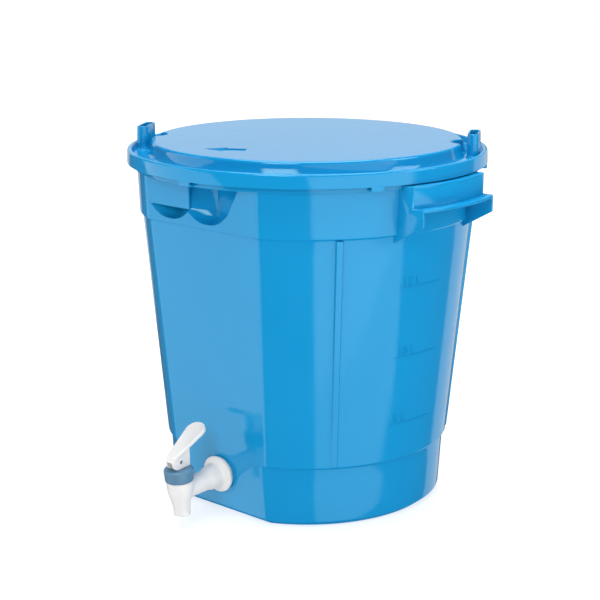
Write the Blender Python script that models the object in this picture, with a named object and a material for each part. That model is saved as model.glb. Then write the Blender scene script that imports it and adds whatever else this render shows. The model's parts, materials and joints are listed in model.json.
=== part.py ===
"""A plastic fermenting bucket: tapered tub with a tap flat, twist-on lid, and a lever tap low on the flat.

The origin is at the middle of the base, on the surface that the bucket stands on. The tap faces -Y and
+Z is up. Lengths are in metres, and MM turns a length in millimetres into metres.
"""

import math

import bmesh
import bpy
from mathutils import Matrix, Vector

MM = 0.001
GAP = 0.3 * MM  # clearance between neighbouring pieces

# Tub
SEGMENTS_ROUND = 66
SEGMENTS_FLAT = 6
FLAT_HALF_ANGLE = math.radians(26.0)
FLAT_RATIO = math.cos(FLAT_HALF_ANGLE)
FOOT_HEIGHT = 4.0 * MM
FLOOR_TOP = 7.2 * MM
BASE_RADIUS = 136.2 * MM
STEP_HEIGHT = 61.5 * MM
STEP_RADIUS = 142.6 * MM
COLLAR_HEIGHT = 288.0 * MM
COLLAR_RADIUS = 166.4 * MM
SHELF_HEIGHT = 331.0 * MM
SHELF_RADIUS = 168.2 * MM
RIM_TOP = 338.0 * MM
RIM_RADIUS = 171.0 * MM
MOUTH_RADIUS = 166.2 * MM
WALL = 2.4 * MM
FLAT_SLOPE = 0.08344  # how much further out the flat gets for each unit of height
FLAT_FOOT = 123.04 * MM
RIB_ANGLES = (52.0, 128.0, -128.0, -52.0)
RIB_WIDTH = 6.0 * MM

# Handles, centred on +X and -X
HANDLE_HALF_SPAN = 54.0 * MM
HANDLE_PLATE = 2.6 * MM
HANDLE_SKIRT_THICK = 2.5 * MM
HANDLE_SKIRT_RADIUS = 184.0 * MM
HANDLE_LEDGE_RADIUS = 195.0 * MM
HANDLE_LEDGE_TOP = 315.0 * MM
HANDLE_LEDGE_THICK = 3.0 * MM
HANDLE_WEB_TOP = 335.0 * MM

# Hollows in the collar above the tap
HOLLOW_CENTRES = (-40.0 * MM, 13.0 * MM)
HOLLOW_WALL = 2.3 * MM
POCKET_SIDES = (-71.6 * MM, 60.0 * MM)
POCKET_LEVELS = (289.2 * MM, 330.9 * MM)
COVER_EDGE = -14.0 * MM
COVER_BOTTOM = COLLAR_HEIGHT + 16.0 * MM
COVER_THICK = 2.4 * MM

# Lid
LID_SEGMENTS = 72
LID_TOP = 357.0 * MM
LID_RADIUS = 178.0 * MM
CHANNEL_FLOOR = 343.5 * MM
PEG_ANGLES = (122.0, -58.0)
PEG_RADIUS = 164.5 * MM
PEG_TOP = 366.6 * MM
ARROW_DEPTH = 1.4 * MM
SCALLOP_RADIUS = 16.0 * MM
SCALLOP_CENTRE = 160.0 * MM
LUG_COUNT = 6
LID_LUG_START = 2.5
TWIST_TO_LOCK = 11.5
TUB_LUG_HALF_ANGLE = 2.2

# Tap
TAP_HEIGHT = 35.0 * MM
WALL_OUTSIDE = 126.0 * MM  # outer face of the flat boss that the tap is clamped on
WALL_INSIDE = 120.9 * MM
SHANK_RADIUS = 9.7 * MM
VALVE_OUT = 181.0 * MM  # distance of the valve's axis from the tub's axis
BONNET_BOTTOM = 46.2 * MM
BONNET_TOP = 59.8 * MM
SEAT_HEIGHT = 29.0 * MM
SPOUT_END = 12.0 * MM
TAP_LEAN = math.atan(FLAT_SLOPE)
TAP_SHIFT = Vector((0.0, -0.83 * MM, 5.6 * MM))  # from the upright drawing to its seat on the boss
CHAMBER_TOP = 56.3 * MM
LEVER_CLEARANCE = 6.5 * MM  # pivot above the face that the lever's heel rides on
PIVOT_HEIGHT = BONNET_TOP + GAP + LEVER_CLEARANCE
LIFT_PER_RADIAN = 3.8 * MM
LEVER_TURN = math.radians(60.0)
LEVER_WIDTH = 10.0 * MM
PIN_RADIUS = 1.5 * MM


def clear_scene():
    for old in list(bpy.data.objects):
        bpy.data.objects.remove(old, do_unlink=True)


def material(name, colour, roughness):
    made = bpy.data.materials.new(name)
    made.use_nodes = True
    shader = made.node_tree.nodes["Principled BSDF"]
    shader.inputs["Base Color"].default_value = (*colour, 1.0)
    shader.inputs["Roughness"].default_value = roughness
    shader.inputs["Metallic"].default_value = 0.0
    return made


def mesh_object(name, points, faces, origin=(0.0, 0.0, 0.0)):
    """An object whose faces point out, with its origin moved to the given place."""
    shape = bmesh.new()
    verts = [shape.verts.new(Vector(p) - Vector(origin)) for p in points]
    for face in faces:
        shape.faces.new([verts[i] for i in face])
    bmesh.ops.recalc_face_normals(shape, faces=shape.faces)
    if shape.calc_volume(signed=True) < 0:
        bmesh.ops.reverse_faces(shape, faces=shape.faces)
    mesh = bpy.data.meshes.new(name)
    shape.to_mesh(mesh)
    shape.free()
    made = bpy.data.objects.new(name, mesh)
    made.location = origin
    bpy.context.collection.objects.link(made)
    return made


def loft(name, rings, origin=(0.0, 0.0, 0.0), closed=False):
    """A skin over rings of equal point counts. A closed loft joins its last ring to its first."""
    count = len(rings[0])
    points = [p for ring in rings for p in ring]
    faces = []
    last = len(rings) if closed else len(rings) - 1
    for k in range(last):
        below = k * count
        above = (k + 1) % len(rings) * count
        for i in range(count):
            j = (i + 1) % count
            faces.append((below + i, below + j, above + j, above + i))
    if not closed:
        faces.append(tuple(range(count)))
        faces.append(tuple(range((len(rings) - 1) * count, len(rings) * count)))
    return mesh_object(name, points, faces, origin)


def prism(name, outline, low, high, place):
    """The outline swept from low to high, where place turns (u, v, w) into a point."""
    rings = [[place(u, v, w) for u, v in outline] for w in (low, high)]
    return loft(name, rings)


def compass(radius, degrees, height):
    """A point at an angle counted from the tap's direction, anticlockwise from above."""
    angle = math.radians(degrees)
    return (radius * math.sin(angle), -radius * math.cos(angle), height)


def flat_plane(height):
    """Distance of the tap's flat from the tub's axis. It is one plane from the collar to the foot."""
    return FLAT_FOOT + FLAT_SLOPE * height


def section(radius, height, flat=True, inset=None):
    """One ring of the tub: a circle, with the tap's flat cut across it."""
    distance = radius * FLAT_RATIO if inset is None else flat_plane(height) - inset
    half_angle = math.acos(distance / radius)
    round_span = 2 * math.pi - 2 * half_angle
    angles = [half_angle + round_span * i / SEGMENTS_ROUND for i in range(SEGMENTS_ROUND)]
    for i in range(SEGMENTS_FLAT):
        across = -1 + 2 * i / SEGMENTS_FLAT
        angles.append(math.atan(across * math.tan(half_angle)))
    ring = []
    for k, angle in enumerate(angles):
        on_flat = flat and k > SEGMENTS_ROUND
        reach = distance / math.cos(angle) if on_flat else radius
        ring.append(compass(reach, math.degrees(angle), height))
    return ring


def circle(radius, centre, axis, count):
    """Points round a centre, in the plane that the axis is normal to."""
    turn = Vector(axis).to_track_quat("Z", "Y").to_matrix()
    points = []
    for i in range(count):
        angle = 2 * math.pi * i / count
        local = Vector((radius * math.cos(angle), radius * math.sin(angle), 0.0))
        points.append(tuple(turn @ local + Vector(centre)))
    return points


def turned(name, profile, centre, axis, count, bored=False, origin=None):
    """A lathe shape. The profile is (distance along the axis, radius) in order."""
    direction = Vector(axis).normalized()
    rings = [
        circle(radius, Vector(centre) + direction * along, axis, count)
        for along, radius in profile
    ]
    return loft(name, rings, origin or (0.0, 0.0, 0.0), closed=bored)


def sector(name, inner, outer, middle, half_span, low, high, steps):
    """A curved bar between two radii and two heights, centred on a compass angle."""
    spans = [middle - half_span + 2 * half_span * i / steps for i in range(steps + 1)]
    rings = []
    for degrees in spans:
        rings.append(
            [
                compass(inner, degrees, low),
                compass(outer, degrees, low),
                compass(outer, degrees, high),
                compass(inner, degrees, high),
            ]
        )
    return loft(name, rings)


def as_helper(made):
    made.hide_render = True
    made.display_type = "WIRE"
    return made


def combine(target, helper, operation):
    as_helper(helper)
    step = target.modifiers.new(helper.name, "BOOLEAN")
    step.operation = operation
    step.object = helper
    step.solver = "EXACT"


def add(target, helper):
    combine(target, helper, "UNION")


def cut(target, helper):
    combine(target, helper, "DIFFERENCE")


def finish(made, look):
    made.data.materials.append(look)
    made.data.shade_smooth()
    made.data.set_sharp_from_angle(angle=math.radians(30))
    return made


def tub_outside(grow=0.0):
    rings = [
        section(BASE_RADIUS - 116 * MM, -grow, flat=False),
        section(BASE_RADIUS - 114 * MM, FOOT_HEIGHT, flat=False),
        section(BASE_RADIUS - 14 * MM, FOOT_HEIGHT, inset=14 * MM),
        section(BASE_RADIUS - 13 * MM, -grow, inset=13 * MM),
        section(BASE_RADIUS - 6 * MM, -grow, inset=6 * MM),
        section(BASE_RADIUS - 5 * MM, FOOT_HEIGHT, inset=5 * MM),
        section(BASE_RADIUS - 0.8 * MM + grow, FOOT_HEIGHT, inset=0.8 * MM - grow),
        section(BASE_RADIUS + grow, FOOT_HEIGHT + 1.2 * MM, inset=-grow),
        section(STEP_RADIUS - 3.0 * MM + grow, STEP_HEIGHT - 2.5 * MM, inset=-grow),
        section(STEP_RADIUS + grow, STEP_HEIGHT, inset=-grow),
        section(COLLAR_RADIUS - 3.0 * MM + grow, COLLAR_HEIGHT - 2.5 * MM, inset=-grow),
        section(COLLAR_RADIUS + grow, COLLAR_HEIGHT),
        section(SHELF_RADIUS + grow, SHELF_HEIGHT - grow),
        section(RIM_RADIUS + grow, SHELF_HEIGHT - grow, flat=False),
        section(RIM_RADIUS + grow, RIM_TOP - 0.8 * MM, flat=False),
        section(RIM_RADIUS - 0.8 * MM + grow, RIM_TOP + grow, flat=False),
    ]
    return loft("bucket" if grow == 0.0 else "tub_clearance", rings)


def tub_inside():
    shelf_top = SHELF_HEIGHT + WALL
    rings = [
        section(BASE_RADIUS - WALL - 2 * MM, FLOOR_TOP, inset=WALL + 2 * MM),
        section(BASE_RADIUS - WALL, FLOOR_TOP + 2 * MM, inset=WALL),
        section(STEP_RADIUS - 3.0 * MM - WALL, STEP_HEIGHT - 2.5 * MM, inset=WALL),
        section(STEP_RADIUS - WALL, STEP_HEIGHT, inset=WALL),
        section(COLLAR_RADIUS - 3.0 * MM - WALL, COLLAR_HEIGHT - 2.5 * MM, inset=WALL),
        section(COLLAR_RADIUS - WALL, COLLAR_HEIGHT),
        section(SHELF_RADIUS - WALL, shelf_top),
        section(MOUTH_RADIUS, shelf_top + 0.15 * MM, flat=False),
        section(MOUTH_RADIUS, RIM_TOP + 12 * MM, flat=False),
    ]
    return loft("tub_inside", rings)


def hollow(name, centre, top_half_width, extra, top):
    """A scoop in the collar's flat: an arched bottom, then sides that lean out to a V in plan."""
    flat_distance = SHELF_RADIUS * FLAT_RATIO
    outside = flat_distance + 8 * MM
    levels = (
        (4.5 * MM, 3.0 * MM, 2.0 * MM),
        (5.5 * MM, 10.0 * MM, 7.0 * MM),
        (10.0 * MM, 19.0 * MM, 12.0 * MM),
        (16.0 * MM, 27.0 * MM, 15.0 * MM),
        (top - COLLAR_HEIGHT, top_half_width, 15.0 * MM),
    )
    rings = []
    for k, (rise, half_width, depth) in enumerate(levels):
        height = COLLAR_HEIGHT + rise - (extra if k < len(levels) - 1 else 0.0)
        ring = []
        for i in range(13):
            u = -1 + 2 * i / 12
            into = (depth + extra) * (1 - abs(u) ** 1.25)
            reach = flat_distance - into
            ring.append((centre + u * (half_width + extra), -reach, height))
        ring.append((centre + half_width + extra, -outside, height))
        ring.append((centre - half_width - extra, -outside, height))
        rings.append(ring)
    return loft(name, rings)


def hollow_cover():
    """The flush plate over the upper part of the left hollow."""
    rings = []
    for height in (COVER_BOTTOM, SHELF_HEIGHT + 3 * MM):
        share = (height - COLLAR_HEIGHT) / (SHELF_HEIGHT - COLLAR_HEIGHT)
        radius = COLLAR_RADIUS + (SHELF_RADIUS - COLLAR_RADIUS) * share
        back = radius * FLAT_RATIO - COVER_THICK
        rings.append(
            [
                (-90 * MM, -back, height),
                (COVER_EDGE, -back, height),
                (COVER_EDGE, -180 * MM, height),
                (-90 * MM, -180 * MM, height),
            ]
        )
    return loft("hollow_cover", rings)


def pocket_block(name, grow):
    """The stretch of the collar's flat that holds both hollows."""
    left, right = POCKET_SIDES
    low, high = POCKET_LEVELS
    rings = []
    for height in (low - grow, high + grow):
        rings.append(
            [
                (left - grow, -120 * MM, height),
                (right + grow, -120 * MM, height),
                (right + grow, -200 * MM, height),
                (left - grow, -200 * MM, height),
            ]
        )
    return loft(name, rings)


def handle(side, look):
    """Web, skirt, finger ledge and two end plates, standing a gap off the tub's wall."""
    middle = 90.0 * side
    half_angle = math.degrees(math.asin(HANDLE_HALF_SPAN / HANDLE_SKIRT_RADIUS))
    ledge_angle = math.degrees(math.asin(HANDLE_HALF_SPAN / HANDLE_LEDGE_RADIUS))
    skirt_inner = HANDLE_SKIRT_RADIUS - HANDLE_SKIRT_THICK
    ledge_low = HANDLE_LEDGE_TOP - HANDLE_LEDGE_THICK
    web_low = HANDLE_WEB_TOP - HANDLE_PLATE
    tag = "right" if side > 0 else "left"
    made = sector(f"{tag}_handle", MOUTH_RADIUS, HANDLE_SKIRT_RADIUS, middle,
                  half_angle, web_low, HANDLE_WEB_TOP, 10)
    add(made, sector(f"skirt_{tag}", skirt_inner, HANDLE_SKIRT_RADIUS - 0.02 * MM, middle,
                     half_angle - 0.02, ledge_low + 0.1 * MM, HANDLE_WEB_TOP - 0.1 * MM, 10))
    add(made, sector(f"ledge_{tag}", skirt_inner + 0.1 * MM, HANDLE_LEDGE_RADIUS, middle,
                     ledge_angle, ledge_low, HANDLE_LEDGE_TOP, 10))

    def across(radius):
        return math.sqrt(radius**2 - HANDLE_HALF_SPAN**2)

    outline = (
        (150 * MM, COLLAR_HEIGHT - 7.5 * MM),
        (154 * MM, COLLAR_HEIGHT - 7.5 * MM),
        (across(HANDLE_LEDGE_RADIUS) + 0.05 * MM, COLLAR_HEIGHT + 11 * MM),
        (across(HANDLE_LEDGE_RADIUS) + 0.05 * MM, HANDLE_LEDGE_TOP + 0.05 * MM),
        (across(HANDLE_SKIRT_RADIUS) + 0.05 * MM, HANDLE_LEDGE_TOP + 0.05 * MM),
        (across(HANDLE_SKIRT_RADIUS) + 0.05 * MM, HANDLE_WEB_TOP + 0.05 * MM),
        (150 * MM, HANDLE_WEB_TOP + 0.05 * MM),
    )
    for end in (-1, 1):
        outer = end * (HANDLE_HALF_SPAN + 0.1 * MM)
        inner = end * (HANDLE_HALF_SPAN - HANDLE_PLATE)
        add(made, prism(f"plate_{tag}_{end + 1}", outline, outer, inner,
                        lambda u, v, w: (side * u, w, v)))
    cut(made, tub_outside(GAP))
    return finish(made, look)


def ribs(tub):
    for degrees in RIB_ANGLES:
        rings = []
        for height, radius in (
            (STEP_HEIGHT - 1 * MM, STEP_RADIUS + 1.2 * MM),
            (COLLAR_HEIGHT - 1.5 * MM, COLLAR_RADIUS - 0.3 * MM),
        ):
            half = math.degrees(RIB_WIDTH / 2 / radius)
            rings.append(
                [
                    compass(radius - 5 * MM, degrees - half, height),
                    compass(radius, degrees - half, height),
                    compass(radius, degrees + half, height),
                    compass(radius - 5 * MM, degrees + half, height),
                ]
            )
        add(tub, loft(f"rib_{degrees:+.0f}", rings))


def lean(pieces):
    """Tips pieces drawn upright square to the flat's slope, about the middle of the tap's boss."""
    centre = Matrix.Translation((0.0, -WALL_OUTSIDE, TAP_HEIGHT))
    turn = centre @ Matrix.Rotation(TAP_LEAN, 4, "X") @ centre.inverted()
    move = Matrix.Translation(TAP_SHIFT) @ turn
    for piece in pieces:
        old_origin = piece.location.copy()
        new_origin = move @ old_origin
        piece.data.transform(Matrix.Translation(-new_origin) @ move @ Matrix.Translation(old_origin))
        piece.location = new_origin


def tub_lugs(tub):
    """The ramps that hold the lid down once it is twisted shut."""
    for k in range(LUG_COUNT):
        middle = LID_LUG_START - TWIST_TO_LOCK + 360 / LUG_COUNT * k
        add(tub, sector(
            f"tub_lug_{k}", RIM_RADIUS - 2 * MM, RIM_RADIUS + 3.6 * MM,
            middle, TUB_LUG_HALF_ANGLE, RIM_TOP - 3.4 * MM, RIM_TOP - 0.9 * MM, 3))


def bucket(look):
    tub = tub_outside()
    ribs(tub)
    tub_lugs(tub)
    boss = turned("boss_outside", ((110 * MM, 21 * MM), (WALL_OUTSIDE, 21 * MM)),
                  (0, 0, TAP_HEIGHT), (0, -1, 0), 32)
    lean([boss])
    add(tub, boss)
    inside = tub_inside()
    boss_inner = turned("boss_inside", ((WALL_INSIDE, 22.5 * MM), (140 * MM, 22.5 * MM)),
                        (0, 0, TAP_HEIGHT), (0, -1, 0), 32)
    lean([boss_inner])
    cut(inside, boss_inner)
    scoops = []
    for tag, centre, half_width in (
        ("left", HOLLOW_CENTRES[0], 29.0 * MM),
        ("right", HOLLOW_CENTRES[1], 43.0 * MM),
    ):
        wall_top = SHELF_HEIGHT + WALL + 0.05 * MM
        cut(inside, hollow(f"{tag}_wall", centre, half_width, HOLLOW_WALL, wall_top))
        scoops.append(hollow(f"{tag}_scoop", centre, half_width, 0.0, SHELF_HEIGHT + 0.6 * MM))
    scoop = scoops[1]
    add(scoop, scoops[0])
    cut(scoop, hollow_cover())
    cut(tub, inside)
    cut(tub, scoop)
    cut(tub, pocket_block("pocket_window", GAP))
    pocket = tub_outside()
    pocket.name = "collar_pocket"
    combine(pocket, pocket_block("pocket_limits", 0.0), "INTERSECT")
    cut(pocket, inside)
    cut(pocket, scoop)
    finish(pocket, look)
    hole = turned("tap_hole", ((100 * MM, 10.2 * MM), (150 * MM, 10.2 * MM)),
                  (0, 0, TAP_HEIGHT), (0, -1, 0), 32)
    lean([hole])
    cut(tub, hole)
    return finish(tub, look)


def lid_profile():
    """(height, radius) from the middle of the top, over the rim and back under to the middle."""
    return [
        (LID_TOP, 149.5 * MM),
        (LID_TOP - 0.6 * MM, 152.0 * MM),
        (LID_TOP - 2.2 * MM, 153.6 * MM),
        (LID_TOP - 5.0 * MM, 154.4 * MM),
        (LID_TOP - 12.0 * MM, 157.2 * MM),
        (CHANNEL_FLOOR, 160.5 * MM),
        (CHANNEL_FLOOR, 170.5 * MM),
        (CHANNEL_FLOOR + 0.8 * MM, 172.2 * MM),
        (CHANNEL_FLOOR + 5.2 * MM, 173.9 * MM),
        (CHANNEL_FLOOR + 6.0 * MM, 175.0 * MM),
        (CHANNEL_FLOOR + 5.4 * MM, 176.8 * MM),
        (CHANNEL_FLOOR + 1.5 * MM, LID_RADIUS),
        (CHANNEL_FLOOR - 7.5 * MM, LID_RADIUS),
        (CHANNEL_FLOOR - 7.5 * MM, LID_RADIUS - 2.4 * MM),
        (CHANNEL_FLOOR + 2.5 * MM, LID_RADIUS - 2.4 * MM),
        (CHANNEL_FLOOR + 1.0 * MM, 174.8 * MM),
        (CHANNEL_FLOOR - 2.2 * MM, 173.2 * MM),
        (CHANNEL_FLOOR - 2.2 * MM, 159.0 * MM),
        (CHANNEL_FLOOR - 1.0 * MM, 155.4 * MM),
        (LID_TOP - 5.0 * MM, 152.1 * MM),
        (LID_TOP - 2.2 * MM, 149.0 * MM),
    ]


def stadium(half_length, half_width, steps=8):
    """The outline of a slot with round ends, its long side along u."""
    outline = []
    reach = half_length - half_width
    for end in (1, -1):
        for i in range(steps + 1):
            angle = -math.pi / 2 + math.pi * i / steps
            u = end * (reach + half_width * math.cos(angle))
            v = end * half_width * math.sin(angle)
            outline.append((u, v))
    return outline


def peg_place(degrees):
    angle = math.radians(degrees)
    outward = Vector((math.sin(angle), -math.cos(angle), 0.0))
    along = Vector((math.cos(angle), math.sin(angle), 0.0))

    def place(u, v, w):
        return tuple(outward * (PEG_RADIUS + v) + along * u + Vector((0, 0, w)))

    return place


def peg(name, degrees, grow, low, high):
    place = peg_place(degrees)
    rings = []
    for height, half_length, half_width in (
        (low, 18.8 * MM, 6.0 * MM),
        (high, 18.4 * MM, 5.6 * MM),
    ):
        outline = stadium(half_length + grow, half_width + grow)
        rings.append([place(u, v, height) for u, v in outline])
    return loft(name, rings)


def scallop_wall(name, degrees):
    """The wall behind a finger recess, inside the raised disc."""
    angle = math.radians(degrees)
    outward = Vector((math.sin(angle), -math.cos(angle), 0.0))
    along = Vector((math.cos(angle), math.sin(angle), 0.0))
    radius = SCALLOP_RADIUS + 2.2 * MM
    outline = []
    for i in range(13):
        turn = math.radians(-60 + 10 * i)
        reach = SCALLOP_CENTRE - radius * math.cos(turn)
        outline.append(outward * reach + along * radius * math.sin(turn))
    rings = [
        [tuple(p + Vector((0, 0, height))) for p in outline]
        for height in (CHANNEL_FLOOR - 1.6 * MM, LID_TOP - 1.0 * MM)
    ]
    return loft(name, rings)


def arrow_recess():
    """The arrow that shows which way the lid closes, sunk into the disc."""
    heading = math.radians(PEG_ANGLES[1])
    point = Vector((math.sin(heading), -math.cos(heading), 0.0))
    side = Vector((-point.y, point.x, 0.0))
    centre = Vector(compass(110 * MM, -3.0, 0.0))
    outline = (
        (-20, -6.5), (0, -6.5), (0, -12.5), (21, 0), (0, 12.5), (0, 6.5), (-20, 6.5),
    )
    rings = []
    for height in (LID_TOP - ARROW_DEPTH, LID_TOP + 2 * MM):
        rings.append(
            [tuple(centre + point * u * MM + side * v * MM + Vector((0, 0, height))) for u, v in outline]
        )
    return loft("arrow_recess", rings)


def lid(look):
    made = turned("lid", lid_profile(), (0, 0, 0), (0, 0, 1), LID_SEGMENTS)
    for k in range(LUG_COUNT):
        middle = LID_LUG_START + 360 / LUG_COUNT * k
        add(made, sector(f"lug_outer_{k}", LID_RADIUS - 2.4 * MM, LID_RADIUS - 0.1 * MM, middle, 2.0,
                         RIM_TOP - 6.1 * MM, RIM_TOP + 2 * MM, 2))
        add(made, sector(f"lug_hook_{k}", RIM_RADIUS + 0.6 * MM, LID_RADIUS - 1 * MM, middle, 2.1,
                         RIM_TOP - 6.2 * MM, RIM_TOP - 3.8 * MM, 2))
    for k, degrees in enumerate(PEG_ANGLES):
        add(made, scallop_wall(f"scallop_wall_{k}", degrees))
        scallop = ((CHANNEL_FLOOR + 2 * MM, SCALLOP_RADIUS), (370 * MM, SCALLOP_RADIUS))
        middle = compass(SCALLOP_CENTRE, degrees, 0.0)
        cut(made, turned(f"scallop_{k}", scallop, middle, (0, 0, 1), 32))
        add(made, peg(f"peg_{k}", degrees, 0.0, CHANNEL_FLOOR - 1 * MM, PEG_TOP))
        cut(made, peg(f"peg_bore_{k}", degrees, -1.8 * MM, CHANNEL_FLOOR + 1.5 * MM, PEG_TOP + 1 * MM))
    cut(made, arrow_recess())
    return finish(made, look)


def lid_seal(look):
    low = RIM_TOP + GAP
    high = CHANNEL_FLOOR - 2.2 * MM - GAP
    profile = ((low, 166.8 * MM), (high, 166.8 * MM), (high, 171.6 * MM), (low, 171.6 * MM))
    made = turned("lid_seal", profile, (0, 0, 0), (0, 0, 1), LID_SEGMENTS, bored=True)
    return finish(made, look)


def ring(name, inner, outer, near, far, look, count=24):
    """A washer on the tap's shank, between two distances from the tub's axis."""
    profile = ((near, inner), (far, inner), (far, outer), (near, outer))
    made = turned(name, profile, (0, 0, TAP_HEIGHT), (0, -1, 0), count, bored=True)
    return finish(made, look)


def back_nut(look):
    near = WALL_INSIDE - 10.9 * MM
    far = WALL_INSIDE - 2.6 * MM
    nut = turned("back_nut", ((near, 19.6 * MM), (far - 2.2 * MM, 19.6 * MM)),
                 (0, 0, TAP_HEIGHT), (0, -1, 0), 6)
    collar = turned("nut_collar", ((far - 2.4 * MM, 18.6 * MM), (far, 18.6 * MM)),
                    (0, 0, TAP_HEIGHT), (0, -1, 0), 24)
    add(nut, collar)
    cut(nut, turned("nut_bore", ((near - 5 * MM, 10.0 * MM), (far + 5 * MM, 10.0 * MM)),
                    (0, 0, TAP_HEIGHT), (0, -1, 0), 24))
    return finish(nut, look)


def tap_body(look):
    axle = (0, 0, TAP_HEIGHT)
    out = (0, -1, 0)
    valve = (0, -VALVE_OUT, 0)
    flange = WALL_OUTSIDE + 2.6 * MM
    shank = turned(
        "tap_body",
        (
            (100 * MM, 9.2 * MM),
            (100.6 * MM, SHANK_RADIUS),
            (flange, SHANK_RADIUS),
            (flange, 18.0 * MM),
            (flange + 3.0 * MM, 18.2 * MM),
            (flange + 4.0 * MM, 17.6 * MM),
            (flange + 5.0 * MM, 14.5 * MM),
            (flange + 7.5 * MM, 12.2 * MM),
            (flange + 16 * MM, 11.4 * MM),
            (flange + 19 * MM, 10.2 * MM),
            (VALVE_OUT - 14 * MM, 9.2 * MM),
            (VALVE_OUT - 6 * MM, 9.2 * MM),
        ),
        axle, out, 28,
    )
    chamber = turned(
        "valve_chamber",
        (
            (SPOUT_END, 8.0 * MM),
            (21.0 * MM, 8.4 * MM),
            (26.0 * MM, 9.6 * MM),
            (33.0 * MM, 11.6 * MM),
            (39.0 * MM, 12.6 * MM),
            (BONNET_BOTTOM - GAP, 12.9 * MM),
            (BONNET_BOTTOM - GAP, 12.0 * MM),
            (CHAMBER_TOP, 12.0 * MM),
        ),
        valve, (0, 0, 1), 28,
    )
    add(shank, chamber)
    cut(shank, turned("shank_bore", ((90 * MM, 6.4 * MM), (VALVE_OUT - 4 * MM, 6.4 * MM)), axle, out, 20))
    bore = ((SEAT_HEIGHT, 7.6 * MM), (SEAT_HEIGHT + 4 * MM, 9.4 * MM), (CHAMBER_TOP + 5 * MM, 9.4 * MM))
    cut(shank, turned("chamber_bore", bore, valve, (0, 0, 1), 24))
    spout = ((0, 6.2 * MM), (SEAT_HEIGHT + 5 * MM, 6.2 * MM))
    cut(shank, turned("spout_bore", spout, valve, (0, 0, 1), 20))
    return finish(shank, look)


def tap_bonnet(look):
    profile = (
        (BONNET_BOTTOM, 12.4 * MM),
        (BONNET_TOP - 1.4 * MM, 12.4 * MM),
        (BONNET_TOP - 1.4 * MM, 3.6 * MM),
        (BONNET_TOP, 3.6 * MM),
        (BONNET_TOP, 13.6 * MM),
        (BONNET_TOP - 1.0 * MM, 14.5 * MM),
        (BONNET_BOTTOM, 13.8 * MM),
    )
    made = turned("tap_bonnet", profile, (0, -VALVE_OUT, 0), (0, 0, 1), 28, bored=True)
    return finish(made, look)


def seat_cup(look):
    """The soft bell that plugs the seat and is clamped under the bonnet."""
    clamp_low = CHAMBER_TOP + GAP
    clamp_high = BONNET_TOP - 1.4 * MM - GAP
    profile = (
        (SEAT_HEIGHT + GAP, 3.2 * MM),
        (clamp_high, 3.2 * MM),
        (clamp_high, 11.4 * MM),
        (clamp_low, 11.4 * MM),
        (clamp_low, 8.8 * MM),
        (50.0 * MM, 8.6 * MM),
        (45.0 * MM, 5.2 * MM),
        (SEAT_HEIGHT + 7.0 * MM, 5.0 * MM),
        (SEAT_HEIGHT + 5.0 * MM, 8.7 * MM),
        (SEAT_HEIGHT + 3.6 * MM, 8.7 * MM),
        (SEAT_HEIGHT + GAP, 7.1 * MM),
    )
    made = turned("seat_cup", profile, (0, -VALVE_OUT, 0), (0, 0, 1), 20, bored=True)
    return finish(made, look)


def valve_stem(look):
    pivot = (0.0, -VALVE_OUT, PIVOT_HEIGHT)
    profile = (
        (SEAT_HEIGHT + 2 * MM, 2.2 * MM),
        (SEAT_HEIGHT + 3 * MM, 2.5 * MM),
        (PIVOT_HEIGHT - 4.5 * MM, 2.5 * MM),
        (PIVOT_HEIGHT - 3.0 * MM, 3.0 * MM),
        (PIVOT_HEIGHT + 2.0 * MM, 3.0 * MM),
        (PIVOT_HEIGHT + 3.0 * MM, 2.2 * MM),
    )
    stem = turned("valve_stem", profile, (0, -VALVE_OUT, 0), (0, 0, 1), 24, origin=pivot)
    cut(stem, turned("stem_eye", ((-8 * MM, PIN_RADIUS + 0.2 * MM), (8 * MM, PIN_RADIUS + 0.2 * MM)),
                     pivot, (1, 0, 0), 20))
    return finish(stem, look)


def lever_pin(look):
    pivot = (0.0, -VALVE_OUT, PIVOT_HEIGHT)
    made = turned("lever_pin", ((-4.7 * MM, PIN_RADIUS), (4.7 * MM, PIN_RADIUS)), pivot, (1, 0, 0), 20,
                  origin=pivot)
    return finish(made, look)


def heel_curve():
    """The involute that lifts the pivot by the same amount for each degree of turn."""
    points = []
    for i in range(9):
        turn = LEVER_TURN * i / 8
        reach = LEVER_CLEARANCE + LIFT_PER_RADIAN * turn
        out = reach * math.sin(turn) + LIFT_PER_RADIAN * math.cos(turn)
        up = -reach * math.cos(turn) + LIFT_PER_RADIAN * math.sin(turn)
        points.append((out, up))
    return points


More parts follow.
